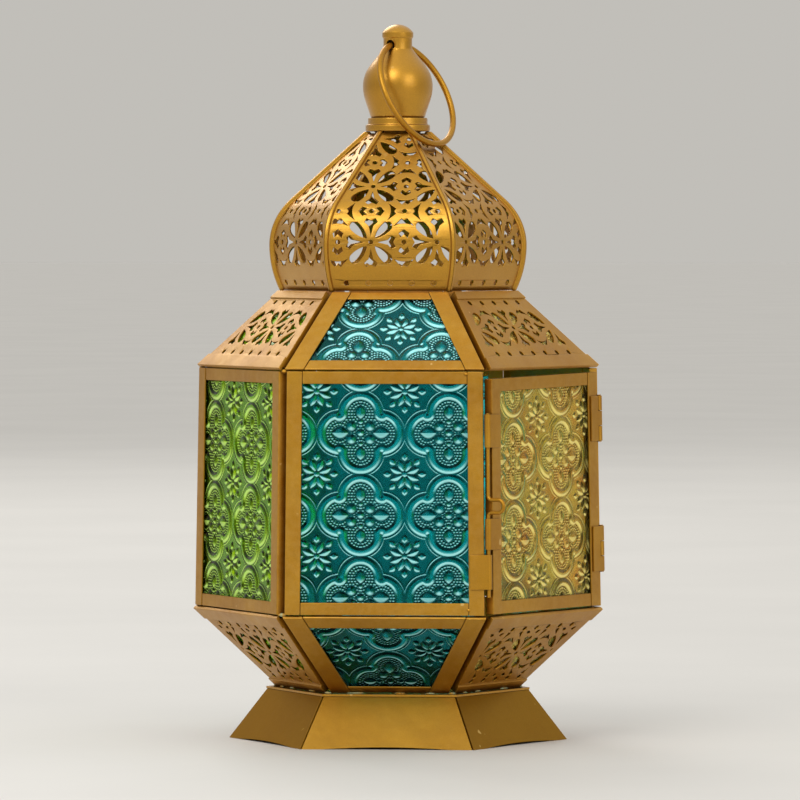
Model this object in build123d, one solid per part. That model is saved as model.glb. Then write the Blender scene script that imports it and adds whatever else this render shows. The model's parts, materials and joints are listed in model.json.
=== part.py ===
from build123d import *

import os
from dataclasses import dataclass
from math import acos, atan2, cos, degrees, hypot, radians, sin, tan

# Hexagonal candle lantern of soldered sheet strips, pierced sheet and pressed glass.
# Millimetres. Origin on the axis at the foot's lower edge, +Z up, the front panel faces -Y.

# The six sides by the direction that each one faces, in degrees from +X.
SIDES = {
    "front": -90,
    "front_right": -30,
    "back_right": 30,
    "back": 90,
    "back_left": 150,
    "front_left": 210,
}
FRONT_ANGLE = SIDES["front"]
DOOR_SIDE = "front_right"
PLAIN_TAPER_SIDES = ("front", "back")
HINGE_CORNER = 0
LATCH_CORNER = -60
HALF_SIDE_ANGLE = 30
APOTHEM_SHARE = cos(radians(HALF_SIDE_ANGLE))

# General fits.
seam_gap = 0.06
overrun = 1.0

# Foot skirt.
foot_low_side = 60.2
foot_high_side = 46.4
foot_height = 17.8
foot_sheet = 0.8
foot_pad_length = 7.0
foot_bow_rise = 0.8

# Floor plate and candle cup.
floor_side = 47.6
floor_thickness = 0.8
cup_bore_radius = 20.0
cup_wall = 0.6
cup_floor = 0.6
cup_height = 8.0

# Storeys, measured on the hexagon of the panels' inner faces.
lower_low_side = 41.8
body_low_side = 70.5
body_high_side = 69.0
upper_high_side = 41.1
lower_slope = 47.2
body_height = 85.6
upper_slope = 46.5

# Channel strips and panes.
lip_thickness = 0.5
slot_width = 2.0
channel_web = 1.0
stile_proud = 0.25
pane_clearance = 0.1
panel_depth = lip_thickness + slot_width + lip_thickness
body_stile_width = 5.5
body_rail_width = 4.4
lower_stile_width = 6.6
lower_low_rail_width = 3.0
lower_high_rail_width = 3.7
upper_stile_width = 6.3
upper_low_rail_width = 2.6
upper_high_rail_width = 3.3

# A taper's outer layer laps over its joint with the body.
apron_reach = 1.7
apron_root = 0.5
apron_start = 2.1

# Pressed relief of the panes: rows of quatrefoils, with a small flower between each four.
glass_pitch_across = 31.0
glass_pitch_up = 28.9
lobe_radius = 7.6
lobe_across = 7.5
lobe_up = 6.8
crest_outer_inset = 1.9
crest_inner_inset = 3.75
flower_tip_radius = 7.4
flower_notch_radius = 5.2
flower_points = 8
TAPER_GLASS_TURN = 90
relief_depth = 0.6
ground_cover = 0.5
least_ground_area = 0.5

# Where a quatrefoil's centre falls on each body pane and on the plain tapers, across and up the panel.
body_relief_places = {
    "front": (-8.5, 35.2),
    "front_right": (-18.9, 25.7),
    "back_right": (4.0, 30.0),
    "back": (10.0, 20.0),
    "back_left": (-6.0, 41.0),
    "front_left": (9.0, 30.8),
}
taper_relief_places = {"lower": (0.4, 4.75), "upper": (-9.75, 3.05)}

# Door in its opening.
door_side_gap = 0.4
door_low_gap = 0.4
door_high_gap_latch = 2.6
door_high_gap_hinge = 1.3
door_stile_width = 5.5
door_rail_width = 4.6

# Pierced trays of the tapers.
tray_sheet = 0.7
tray_border = 3.2
tray_lip_width = 4.0
bar_width = 3.6
bar_proud = 0.5

# Pierced pattern: a square lattice of flowers.
lattice_pitch = 23.5
border_dot_radius = 1.0
border_dot_pitch = 7.7
dome_dot_height = 3.0
dome_dot_count = 5
sheet_margin = 0.5
kept_area_share = 0.4

# Outlines of the pattern's holes, as shares of the lattice pitch.
# Each point is (distance from the motif's centre, half width there).
petal_tip_share = 0.085
petal_side_shares = (0.215, 0.062)
petal_shoulder_shares = (0.345, 0.076)
petal_end_share = 0.425
wedge_shares = ((0.105, 0.0), (0.255, 0.034), (0.315, 0.1), (0.375, 0.068), (0.335, 0.0))
chevron_apex_share = 0.194
chevron_half_width_share = 0.08
chevron_thickness_share = 0.046
crescent_end_shares = (0.247, 0.149)
crescent_bump_shares = (0.13, 0.047)
crescent_notch_share = 0.158
crescent_back_share = 0.206
flower_dot_share = 0.033
unit_dot_share = 0.036
half_cell_share = 0.5

# Where a flower's centre falls across each dome panel, and up the panels, as shares of the pitch.
dome_phase_shares = {
    "front": -0.285,
    "front_right": 0.38,
    "back_right": 0.1,
    "back": -0.4,
    "back_left": 0.25,
    "front_left": -0.1,
}
dome_row_share = 0.755
tray_phase_share = 0.0

# Dome panels, by the outer face's distance from the axis at the middle of a side.
dome_low_apothem = 36.0
dome_wide_apothem = 39.3
dome_wide_height = 16.2
dome_shoulder_radius = 23.0
dome_high_apothem = 9.2
dome_height = 57.0
dome_sheet = 0.7
dome_plain_band = 7.8
dome_vent_gap = 0.8
rib_height = 1.0
rib_thickness = 0.9

# Collar and finial, turned.
collar_radius = 11.6
collar_flange_height = 2.4
collar_groove_radius = 10.7
collar_height = 4.9
collar_spigot_radius = 8.2
collar_spigot_depth = 2.0
bulb_height = 23.9
bulb_radius = 12.5
neck_radius = 5.15
neck_height = 4.4
cap_radius = 5.6
cap_under_height = 0.7
cap_rim_height = 2.2
cap_crown_height = 3.0

# The bulb's outline, as shares of its radius and its height.
bulb_shares = (
    (0.78, 0.0),
    (0.9, 0.2),
    (0.985, 0.36),
    (1.0, 0.51),
    (0.925, 0.67),
    (0.76, 0.81),
    (0.55, 0.945),
)

# Hanging ring through the finial's neck.
ring_radius = 19.8
ring_wire_radius = 1.1
ring_hole_clearance = 0.25
ring_hole_height_share = 0.48
ring_swing_side = -30
ring_lean = 25.0

# Hinges, latch tabs and keeper: a leaf on a strip's face, rolled round a wire in the corner groove.
leaf_thickness = 0.6
leaf_edge = 0.5
leaf_width = 5.0
knuckle_radius = 1.25
knuckle_gap = 0.15
pin_radius = 0.6
pin_clearance = 0.08
pin_head_radius = 0.95
pin_head_height = 0.3
hinge_height = 16.2
lower_hinge_height = 12.7
upper_hinge_height = 59.5
bolt_radius = 0.68
bolt_clearance = 0.1
keeper_low = 9.2
keeper_height = 12.2
lower_tab_low = 23.2
lower_tab_height = 10.9
upper_tab_low = 59.0
upper_tab_height = 11.6
bolt_low = 6.4
bolt_high = 71.0
pull_low = 36.2
pull_height = 4.5
pull_reach = 6.4
pull_bend_radius = 1.5
pull_end_share = 0.48


@dataclass
class Storey:
    """Six flat panels, by the hexagon of their inner faces at the bottom and at the top."""

    low_side: float
    high_side: float
    low_z: float
    high_z: float

    @property
    def spread(self):
        """How far a panel's inner face moves outwards from its bottom to its top."""
        return (self.high_side - self.low_side) * APOTHEM_SHARE

    @property
    def slant(self):
        """A panel's height along its own slope."""
        return hypot(self.spread, self.high_z - self.low_z)

    def plane(self, out=0):
        """The front panel's inner face, moved outwards, with its X across and its Y up the slope."""
        facing = (0, self.low_z - self.high_z, -self.spread)
        origin = (0, -self.low_side * APOTHEM_SHARE, self.low_z)
        return Plane(origin=origin, x_dir=(1, 0, 0), z_dir=facing).offset(out)

    def corners(self):
        """The front panel's outline, from lower left, counterclockwise."""
        low, high = self.low_side / 2, self.high_side / 2
        points = ((-low, 0), (low, 0), (high, self.slant), (-high, self.slant))
        return [Vector(*point) for point in points]

    def corner_plane(self, angle):
        """A section across the corner at an angle: X points out along it, Z runs up it."""
        out = Vector(cos(radians(angle)), sin(radians(angle)), 0)
        low = out * self.low_side + Vector(0, 0, self.low_z)
        up = out * self.high_side + Vector(0, 0, self.high_z) - low
        return Plane(origin=low, x_dir=out - up * (out.dot(up) / up.dot(up)), z_dir=up)


def rise_of(low_side, high_side, slope):
    """The height of panels that lean at a slope between two hexagons."""
    return abs(high_side - low_side) * APOTHEM_SHARE * tan(radians(slope))


floor_z = foot_height + seam_gap
floor_top = floor_z + floor_thickness
proud_depth = panel_depth + max(stile_proud, bar_proud)
lower_z = floor_top + proud_depth * cos(radians(lower_slope)) + seam_gap
body_z = lower_z + rise_of(lower_low_side, body_low_side, lower_slope) + seam_gap
upper_z = body_z + body_height + seam_gap
upper_top = upper_z + rise_of(body_high_side, upper_high_side, upper_slope)
dome_z = upper_top + proud_depth * cos(radians(upper_slope)) + seam_gap
collar_z = dome_z + dome_height + seam_gap
finial_z = collar_z + collar_height + seam_gap
neck_z = finial_z + bulb_height
ring_z = neck_z + neck_height * ring_hole_height_share

FOOT = Storey(foot_low_side, foot_high_side, 0, foot_height)
LOWER = Storey(lower_low_side, body_low_side, lower_z, body_z - seam_gap)
BODY = Storey(body_low_side, body_high_side, body_z, body_z + body_height)
UPPER = Storey(body_high_side, upper_high_side, upper_z, upper_top)


def turned(shape, side):
    """A copy of a front piece turned to another side."""
    return Rot(0, 0, SIDES[side] - FRONT_ANGLE) * shape


def edge_line(start, end, inset):
    """An outline's edge moved inwards, as a point and a direction."""
    along = (end - start).normalized()
    return start + along.rotate(Axis.Z, 90) * inset, along


def crossing(first, second):
    """The point where two lines meet."""
    (point, along), (other, across) = first, second
    gap = other - point
    reach = (gap.X * across.Y - gap.Y * across.X) / (along.X * across.Y - along.Y * across.X)
    return point + along * reach


def between(bottom, right, top, left):
    """The face inside four lines."""
    lines = (bottom, right, top, left)
    points = [crossing(lines[i - 1], lines[i]) for i in range(len(lines))]
    return make_face(Polyline(*points, close=True))


def inset_face(corners, sides, low, high):
    """A panel's outline with its side edges, lower edge and upper edge moved inwards."""
    insets = (low, sides, high, sides)
    ends = corners[1:] + corners[:1]
    return between(*(edge_line(*edge) for edge in zip(corners, ends, insets)))


def even_inset(corners, inset):
    """A panel's outline with every edge moved inwards by the same amount."""
    return inset_face(corners, inset, inset, inset)


def plate(storey, face, start, thickness):
    """A face of the front panel made solid, from a distance out of the inner plane."""
    return extrude(storey.plane(start) * face, thickness)


def quatrefoil(inset):
    """A quatrefoil's outline moved inwards."""
    middle = Rectangle(2 * lobe_across, 2 * lobe_up)
    notch = Circle(inset)
    for across in (-lobe_across, lobe_across):
        middle -= [Pos(across, up) * notch for up in (-lobe_up, lobe_up)]
    lobe = Circle(lobe_radius - inset)
    middle += [Pos(across, 0) * lobe for across in (-lobe_across, lobe_across)]
    return middle + [Pos(0, up) * lobe for up in (-lobe_up, lobe_up)]


def flower_star():
    """A small flower's outline."""
    step = 180 / flower_points
    radii = (flower_tip_radius, flower_notch_radius)
    spokes = [Vector(radii[i % 2], 0).rotate(Axis.Z, i * step) for i in range(2 * flower_points)]
    return make_face(Polyline(*spokes, close=True))


def places_over(low, high, start, pitch):
    """Places at a pitch from a start, from the last one below a range to the first one above it."""
    first, last = int((low - start) // pitch), int((high - start) // pitch) + 1
    return [start + pitch * step for step in range(first, last + 1)]


def relief_ground(window, place, turn):
    """The parts of a window between the quatrefoils' crests and the flowers."""
    crest = Rot(0, 0, turn) * (quatrefoil(crest_outer_inset) - quatrefoil(crest_inner_inset))
    pitches = (glass_pitch_up, glass_pitch_across) if turn else (glass_pitch_across, glass_pitch_up)
    star = flower_star()
    box = window.bounding_box()
    raised = []
    for across in places_over(box.min.X, box.max.X, place[0], pitches[0]):
        for up in places_over(box.min.Y, box.max.Y, place[1], pitches[1]):
            raised.append(Pos(across, up) * crest)
            raised.append(Pos(across - pitches[0] / 2, up - pitches[1] / 2) * star)
    return [face for face in (window - raised).faces() if face.area > least_ground_area]


def pane(storey, corners, stile, low_rail, high_rail, place):
    """The glass pane of a panel, with its relief left standing where the ground in the window is sunk."""
    face = even_inset(corners, channel_web + pane_clearance)
    body = plate(storey, face, lip_thickness + pane_clearance, slot_width - 2 * pane_clearance)
    widths = (stile - ground_cover, low_rail - ground_cover, high_rail - ground_cover)
    start = lip_thickness + slot_width - pane_clearance - relief_depth
    turn = 0 if storey is BODY else TAPER_GLASS_TURN
    sunk = relief_ground(inset_face(corners, *widths), place, turn)
    return body - [plate(storey, ground, start, relief_depth + overrun) for ground in sunk]


def apron(storey, sides, height):
    """The outer layer of a taper's strip, carried on past the end that meets the body, to lie over the joint."""
    low_left, low_right, high_right, high_left = storey.corners()
    right, left = sides
    if storey is UPPER:
        ends = [edge_line(low_left, low_right, inset) for inset in (-apron_reach, apron_root)]
    else:
        ends = [edge_line(high_right, high_left, inset) for inset in (apron_root, -apron_reach)]
    return plate(storey, between(ends[0], right, ends[1], left), apron_start, height - apron_start)


def channel_frame(storey, corners, stile, low_rail, high_rail):
    """Four channel strips round a pane: stiles of full height, and rails that butt between them."""
    low_left, low_right, high_right, high_left = corners
    bottom, rail_top = (edge_line(low_left, low_right, inset) for inset in (0, low_rail))
    top, rail_bottom = (edge_line(high_right, high_left, inset) for inset in (0, high_rail))
    steps = (seam_gap, stile, stile + seam_gap)
    right, right_inner, right_end = (edge_line(low_right, high_right, inset) for inset in steps)
    left, left_inner, left_end = (edge_line(high_left, low_left, inset) for inset in steps)
    stiles = [between(bottom, left_inner, top, left), between(bottom, right, top, right_inner)]
    rails = [between(bottom, right_end, rail_top, left_end), between(rail_bottom, right_end, top, left_end)]
    slot = plate(storey, even_inset(corners, channel_web), lip_thickness, slot_width)
    strips = [plate(storey, face, 0, panel_depth + stile_proud) for face in stiles]
    strips += [plate(storey, face, 0, panel_depth) for face in rails]
    if storey is not BODY:
        high = panel_depth + stile_proud
        joined = 2 if storey is UPPER else 3
        strips[0] += apron(storey, (left_inner, left), high)
        strips[1] += apron(storey, (right, right_inner), high)
        strips[joined] += apron(storey, (right_end, left_end), panel_depth)
    return Compound(children=[solid for strip in strips for solid in (strip - slot).solids()])


def outline(points):
    """A closed face through points that stand on one side of the X axis, mirrored to the other side."""
    mirrored = [(x, -y) for x, y in reversed(points) if y]
    return make_face(Polyline(*points, *mirrored, close=True))


def scaled(points):
    """Points given as shares of the lattice pitch, in millimetres."""
    return [(x * lattice_pitch, y * lattice_pitch) for x, y in points]


def petal():
    """A teardrop along +X."""
    tip, end = scaled([(petal_tip_share, 0), (petal_end_share, 0)])
    side, shoulder = scaled([petal_side_shares, petal_shoulder_shares])
    side_below, shoulder_below = (side[0], -side[1]), (shoulder[0], -shoulder[1])
    edges = [
        ThreePointArc(tip, side, shoulder),
        ThreePointArc(shoulder, end, shoulder_below),
        ThreePointArc(shoulder_below, side_below, tip),
    ]
    return make_face(edges)


def wedge():
    """A notched wedge along +X, between two petals."""
    return outline(scaled(wedge_shares))


def chevron():
    """An arrow head that points along +X, beside a dot."""
    apex, wide = chevron_apex_share, chevron_half_width_share
    back = apex - chevron_thickness_share
    heel = wide - chevron_thickness_share / 2
    points = [(apex, 0), (apex - heel, wide), (back - wide, heel), (back - chevron_thickness_share / 2, 0)]
    return outline(scaled(points))


def crescent():
    """A notched crescent across +X, hollow towards the next motif."""
    end, bump = scaled([crescent_end_shares, crescent_bump_shares])
    notch, back = scaled([(crescent_notch_share, 0), (crescent_back_share, 0)])
    end_below, bump_below = (end[0], -end[1]), (bump[0], -bump[1])
    front = Polyline(end, bump, notch, bump_below, end_below)
    return make_face([*front.edges(), ThreePointArc(end_below, back, end)])


def dot(share):
    """A round hole, by its radius as a share of the pitch."""
    return Circle(share * lattice_pitch).face()


def motif():
    """The holes of one lattice cell, each with its cell place in pitches and its turn in degrees."""
    holes = [(dot(flower_dot_share), 0, 0, 0)]
    for quarter in range(4):
        turn = quarter * 90
        holes.append((petal(), 0, 0, turn + 45))
        holes.append((wedge(), 0, 0, turn))
        holes.append((crescent(), half_cell_share, half_cell_share, turn))
    for across, up, turn in ((half_cell_share, 0, 90), (0, half_cell_share, 0)):
        holes.append((dot(unit_dot_share), across, up, 0))
        holes.append((chevron(), across, up, turn))
        holes.append((chevron(), across, up, turn + 180))
    holes.append((dot(unit_dot_share), half_cell_share, half_cell_share, 0))
    return holes


def pattern(region, phase, row):
    """Pairs of a hole's centre and its face, trimmed to a region, for a lattice through (phase, row)."""
    box = region.bounding_box()
    columns = range(int(box.min.X // lattice_pitch) - 1, int(box.max.X // lattice_pitch) + 2)
    rows = range(int(box.min.Y // lattice_pitch) - 1, int(box.max.Y // lattice_pitch) + 2)
    kept = []
    cell = motif()
    for column in columns:
        for line in rows:
            for face, across, up, turn in cell:
                centre = Vector(phase + (column + across) * lattice_pitch, row + (line + up) * lattice_pitch)
                hole = Pos(*centre) * Rot(0, 0, turn) * face
                trimmed = trim(hole, region)
                kept += [(piece.center(), piece) for piece in trimmed]
    return kept


def trim(hole, region):
    """The parts of a hole that lie inside a region and aren't slivers."""
    near, room = hole.bounding_box(), region.bounding_box()
    beside = near.max.X < room.min.X or near.min.X > room.max.X
    if beside or near.max.Y < room.min.Y or near.min.Y > room.max.Y:
        return []
    inside = hole & region
    pieces = inside.faces() if inside else []
    return [piece for piece in pieces if piece.area > kept_area_share * hole.area]


def tray(storey):
    """A pierced panel: a sheet with folded edges and two bars, open at the back round its pane."""
    corners = storey.corners()
    body = plate(storey, inset_face(corners, seam_gap, 0, 0), 0, panel_depth)
    pocket_depth = panel_depth - tray_sheet - lip_thickness
    body -= plate(storey, even_inset(corners, channel_web), lip_thickness, pocket_depth)
    body -= plate(storey, even_inset(corners, tray_lip_width), -overrun, lip_thickness + 2 * overrun)
    low_left, low_right, high_right, high_left = corners
    sides = [edge_line(low_right, high_right, seam_gap), edge_line(high_left, low_left, seam_gap)]
    bottom = [edge_line(low_left, low_right, inset) for inset in (0, bar_width)]
    top = [edge_line(high_right, high_left, inset) for inset in (0, bar_width)]
    sheet_start = panel_depth - tray_sheet
    for low, high in (bottom, reversed(top)):
        body += plate(storey, between(low, sides[0], high, sides[1]), sheet_start, tray_sheet + bar_proud)
    body += apron(storey, sides, panel_depth + bar_proud)
    clear = bar_width + tray_border
    region = inset_face(corners, tray_border + channel_web, clear, clear)
    middle = storey.slant / 2
    holes = [face for _, face in pattern(region, tray_phase_share * lattice_pitch, middle)]
    holes += border_dots(storey)
    return body - [plate(storey, face, sheet_start - overrun, tray_sheet + 2 * overrun) for face in holes]


def border_dots(storey):
    """A row of small holes along each bar of a pierced panel."""
    faces = []
    height = bar_width + tray_border - sheet_margin - border_dot_radius
    for up in (height, storey.slant - height):
        side = storey.low_side + (storey.high_side - storey.low_side) * up / storey.slant
        room = side / 2 - tray_border - channel_web - border_dot_radius
        steps = int(room // border_dot_pitch)
        for step in range(-steps, steps + 1):
            faces.append(Pos(step * border_dot_pitch, up) * Circle(border_dot_radius).face())
    return faces


def pane_below_sheet(storey):
    """The glass pane behind a pierced sheet."""
    face = even_inset(storey.corners(), channel_web + pane_clearance)
    depth = panel_depth - tray_sheet - lip_thickness - 2 * pane_clearance
    return plate(storey, face, lip_thickness + pane_clearance, depth)


def foot_panel():
    """One flared sheet of the foot, flat below at its two ends and bowed up between them."""
    corners = FOOT.corners()
    tall = inset_face(corners, seam_gap, -overrun, -overrun)
    sheet = plate(FOOT, tall, 0, foot_sheet)
    reach = 2 * (foot_low_side + foot_sheet + overrun)
    level = Pos(0, 0, foot_height / 2) * Box(reach, reach, foot_height)
    half_bow = foot_low_side / 2 - foot_pad_length
    left, right = (-half_bow, 0), (half_bow, 0)
    bow = make_face([ThreePointArc(left, (0, foot_bow_rise), right), Line(right, left)])
    return (sheet & level) - extrude(Plane.XZ * bow, reach)


def floor_plate():
    """The hexagon between the foot and the lower taper."""
    return extrude(Plane.XY.offset(floor_z) * RegularPolygon(floor_side, len(SIDES)), floor_thickness)


def candle_cup():
    """An open cup for a tea light."""
    outer = Cylinder(cup_bore_radius + cup_wall, cup_height, align=(Align.CENTER, Align.CENTER, Align.MIN))
    bore = Cylinder(cup_bore_radius, cup_height, align=(Align.CENTER, Align.CENTER, Align.MIN))
    return Pos(0, 0, floor_top + seam_gap) * (outer - Pos(0, 0, cup_floor) * bore)


def door_corners():
    """The door's outline: the opening less its gaps, with an upper edge that drops towards the latch."""
    low_left, low_right, high_right, high_left = BODY.corners()
    bottom = edge_line(low_left, low_right, door_low_gap)
    right = edge_line(low_right, high_right, door_side_gap)
    drop = Vector(0, 1)
    top = edge_line(high_right - drop * door_high_gap_hinge, high_left - drop * door_high_gap_latch, 0)
    left = edge_line(high_left, low_left, door_side_gap)
    lines = (bottom, right, top, left)
    return [crossing(lines[i - 1], lines[i]) for i in range(len(lines))]


# The dome's outer outline: an arc out to the widest place, a shoulder arc, and a straight run to the top.
low_drop = dome_wide_apothem - dome_low_apothem
dome_low_radius = (dome_wide_height**2 + low_drop**2) / (2 * low_drop)
low_centre = dome_wide_apothem - dome_low_radius
shoulder_centre = dome_wide_apothem - dome_shoulder_radius
low_angle = degrees(atan2(dome_wide_height, dome_low_apothem - low_centre))
top_across, top_up = dome_high_apothem - shoulder_centre, dome_height - dome_wide_height
shoulder_angle = degrees(atan2(top_up, top_across) - acos(dome_shoulder_radius / hypot(top_across, top_up)))
low_arc_length = radians(low_angle) * dome_low_radius
shoulder_arc_length = radians(shoulder_angle) * dome_shoulder_radius
straight_length = hypot(
    dome_high_apothem - shoulder_centre - dome_shoulder_radius * cos(radians(shoulder_angle)),
    dome_height - dome_wide_height - dome_shoulder_radius * sin(radians(shoulder_angle)),
)
straight_start = low_arc_length + shoulder_arc_length
shoulder_middle = low_arc_length + shoulder_arc_length / 2
dome_outline_length = straight_start + straight_length


def dome_at(distance, out=0):
    """The dome outline's place (apothem, height) at a distance from its lower edge, and its facing angle."""
    if distance < low_arc_length:
        angle = degrees(distance / dome_low_radius) - low_angle
        centre, radius, beyond = low_centre, dome_low_radius, 0
    else:
        angle = min(degrees((distance - low_arc_length) / dome_shoulder_radius), shoulder_angle)
        centre, radius = shoulder_centre, dome_shoulder_radius
        beyond = max(distance - straight_start, 0)
    across, up = cos(radians(angle)), sin(radians(angle))
    apothem = centre + (radius + out) * across - beyond * up
    return apothem, dome_wide_height + (radius + out) * up + beyond * across, angle


def dome_outline(out, end):
    """The dome outline's three edges, moved outwards, up to a distance from its lower edge."""
    stops = (0, low_arc_length / 2, low_arc_length, shoulder_middle, straight_start, end)
    start, low_middle, wide, middle, shoulder, top = [dome_at(stop, out)[:2] for stop in stops]
    low_arc, shoulder_arc = ThreePointArc(start, low_middle, wide), ThreePointArc(wide, middle, shoulder)
    return [low_arc, shoulder_arc, Line(shoulder, top)]


def dome_shell(inner, outer, end):
    """The band between two dome outlines, drawn out across the front side."""
    inside, outside = dome_outline(inner, end), dome_outline(outer, end)
    foot = Line(inside[0] @ 0, outside[0] @ 0)
    head = Line(outside[-1] @ 1, inside[-1] @ 1)
    section = Plane(origin=(0, 0, dome_z), x_dir=(0, -1, 0), z_dir=(-1, 0, 0))
    return extrude(section * make_face([*inside, *outside, foot, head]), dome_wide_apothem, both=True)


def sector(inset):
    """The front sixth of the dome's space, moved in from its two seam planes."""
    far = 2 * dome_wide_apothem
    apex = inset / sin(radians(HALF_SIDE_ANGLE))
    half = (far - apex) * tan(radians(HALF_SIDE_ANGLE))
    face = make_face(Polyline((0, -apex), (-half, -far), (half, -far), close=True))
    return extrude(Plane.XY.offset(dome_z - overrun) * face, dome_height + overrun)


def dome_region():
    """The part of a dome panel that is pierced, laid flat."""
    start, end = dome_plain_band, dome_outline_length - dome_vent_gap - sheet_margin
    stops = (start, low_arc_length, shoulder_middle, straight_start, end)
    narrow = rib_thickness + sheet_margin
    slope = tan(radians(HALF_SIDE_ANGLE))
    right = [(dome_at(stop)[0] * slope - narrow, stop) for stop in stops]
    left = [(-across, up) for across, up in reversed(right)]
    return make_face(Polyline(*right, *left, close=True))


def dome_holes(side):
    """The holes of one dome panel as cutting bodies, each square to the sheet."""
    phase = dome_phase_shares[side] * lattice_pitch
    faces = pattern(dome_region(), phase, dome_row_share * lattice_pitch)
    low = Vector(0, dome_dot_height)
    for step in range(dome_dot_count):
        centre = low + Vector((step - (dome_dot_count - 1) / 2) * border_dot_pitch, 0)
        faces.append((centre, Pos(*centre) * Circle(border_dot_radius).face()))
    tools = []
    for centre, face in faces:
        apothem, up, angle = dome_at(centre.Y)
        facing = (0, -cos(radians(angle)), sin(radians(angle)))
        origin = (centre.X, -apothem, dome_z + up)
        tangent = Plane(origin=origin, x_dir=(1, 0, 0), z_dir=facing).offset(-dome_sheet - overrun)
        tools.append(extrude(tangent * Pos(*(-centre)) * face, dome_sheet + 2 * overrun))
    return tools


def dome_blank():
    """One dome panel before piercing: a curved sheet whose side edges are turned outwards."""
    inner_sector, outer_sector = sector(seam_gap / 2 + rib_thickness), sector(seam_gap / 2)
    sheet = dome_shell(-dome_sheet, 0, dome_outline_length - dome_vent_gap) & outer_sector
    ribs = (dome_shell(-dome_sheet, rib_height, dome_outline_length) & outer_sector) - inner_sector
    return sheet + ribs


def dome_collar():
    """The turned seat between dome and finial, with a spigot inside the dome's top."""
    low, flange, top = collar_z, collar_z + collar_flange_height, collar_z + collar_height
    points = [
        (0, low - collar_spigot_depth),
        (collar_spigot_radius, low - collar_spigot_depth),
        (collar_spigot_radius, low),
        (collar_radius, low),
        (collar_radius, flange),
        (collar_groove_radius, flange),
        (collar_groove_radius, top),
        (0, top),
    ]
    return revolve(Plane.XZ * make_face(Polyline(*points, close=True)), Axis.Z)


def finial():
    """A turned bulb with a neck and a button cap, drilled across the neck."""
    bulb = [(bulb_radius * across, finial_z + bulb_height * up) for across, up in bulb_shares]
    neck_top = neck_z + neck_height
    rim_top = neck_top + cap_rim_height
    crown = rim_top + cap_crown_height
    throat = (neck_radius, neck_z + neck_height * ring_hole_height_share / 2)
    side = Spline(*bulb, throat)
    neck_end, rim_low, rim_high = (neck_radius, neck_top), (cap_radius, neck_top + cap_under_height), (cap_radius, rim_top)
    edges = [
        Line((0, finial_z), bulb[0]),
        side,
        Polyline(throat, neck_end, rim_low, rim_high),
        TangentArc((0, crown), rim_high, tangent=(1, 0)),
        Line((0, crown), (0, finial_z)),
    ]
    body = revolve(Plane.XZ * make_face(edges), Axis.Z)
    return body - ring_hole()


ring_axis = Vector(1, 0, 0).rotate(Axis.Z, ring_swing_side + 90)
ring_rise = neck_radius**2 / (2 * ring_radius)
ring_hole_radius = ring_wire_radius + ring_rise / 2 + ring_hole_clearance


def ring_hole():
    """The hole across the neck, wide enough for the ring's curve."""
    across = Plane(origin=(0, 0, ring_z), z_dir=ring_axis)
    return extrude(across * Circle(ring_hole_radius), 2 * neck_radius, both=True)


def hanging_ring():
    """A wire ring through the neck, leaning on the dome."""
    out = Vector(1, 0, 0).rotate(Axis.Z, ring_swing_side)
    hang = out * sin(radians(ring_lean)) - Vector(0, 0, 1) * cos(radians(ring_lean))
    centre = Vector(0, 0, ring_z) + hang * (ring_radius - ring_rise / 2)
    ring_plane = Plane(origin=centre, x_dir=ring_axis, z_dir=ring_axis.cross(hang))
    return ring_plane * Torus(ring_radius, ring_wire_radius)


leaf_face = panel_depth + stile_proud + seam_gap
groove_reach = (leaf_face + leaf_thickness - knuckle_radius) / APOTHEM_SHARE


def wall_face(hand, start, end, low, high):
    """A rectangle in a corner's section, start to end along one of its walls and low to high out of it."""
    along = Vector(1, 0).rotate(Axis.Z, hand * (180 - 2 * HALF_SIDE_ANGLE))
    out = Vector(1, 0).rotate(Axis.Z, hand * HALF_SIDE_ANGLE)
    points = [along * w + out * n for w, n in ((start, low), (end, low), (end, high), (start, high))]
    return make_face(Polyline(*points, close=True))


def leaf(corner, hand, low, height, rolls, bore):
    """A leaf on the wall to one hand of a corner, rolled round the corner's wire along some of its height."""
    section = BODY.corner_plane(corner).offset(low)
    top = leaf_face + leaf_thickness
    body = extrude(section * wall_face(hand, leaf_edge, leaf_width, leaf_face, top), height)
    reach = -groove_reach * sin(radians(HALF_SIDE_ANGLE))
    wire = Pos(groove_reach, 0)
    for start, end in rolls:
        roll = section.offset(start)
        body += extrude(roll * wall_face(hand, reach, leaf_edge, leaf_face, top), end - start)
        body += extrude(roll * wire * Circle(knuckle_radius), end - start)
    return body - extrude(section.offset(-overrun) * wire * Circle(bore), height + 2 * overrun)


def hinge_leaves(hand, outer):
    """Two leaves of one wall: the outer knuckles on one hinge, and the middle knuckle on the other."""
    step = hinge_height / 3
    ends = [(0, step - knuckle_gap / 2), (2 * step + knuckle_gap / 2, hinge_height)]
    middle = [(step + knuckle_gap / 2, 2 * step - knuckle_gap / 2)]
    leaves = []
    for low in (lower_hinge_height, upper_hinge_height):
        rolls = ends if low == outer else middle
        leaves.append(leaf(HINGE_CORNER, hand, low, hinge_height, rolls, pin_radius + pin_clearance))
    return Compound(children=leaves)


def hinge_pins():
    """A headed pin through each hinge."""
    pins = []
    for low in (lower_hinge_height, upper_hinge_height):
        section = BODY.corner_plane(HINGE_CORNER).offset(low)
        wire = Pos(groove_reach, 0)
        pin = extrude(section * wire * Circle(pin_radius), hinge_height)
        for head in (-pin_head_height - seam_gap, hinge_height + seam_gap):
            pin += extrude(section.offset(head) * wire * Circle(pin_head_radius), pin_head_height)
        for neck in (-seam_gap, hinge_height):
            pin += extrude(section.offset(neck) * wire * Circle(pin_radius), seam_gap)
        pins.append(pin)
    return Compound(children=pins)


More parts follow.
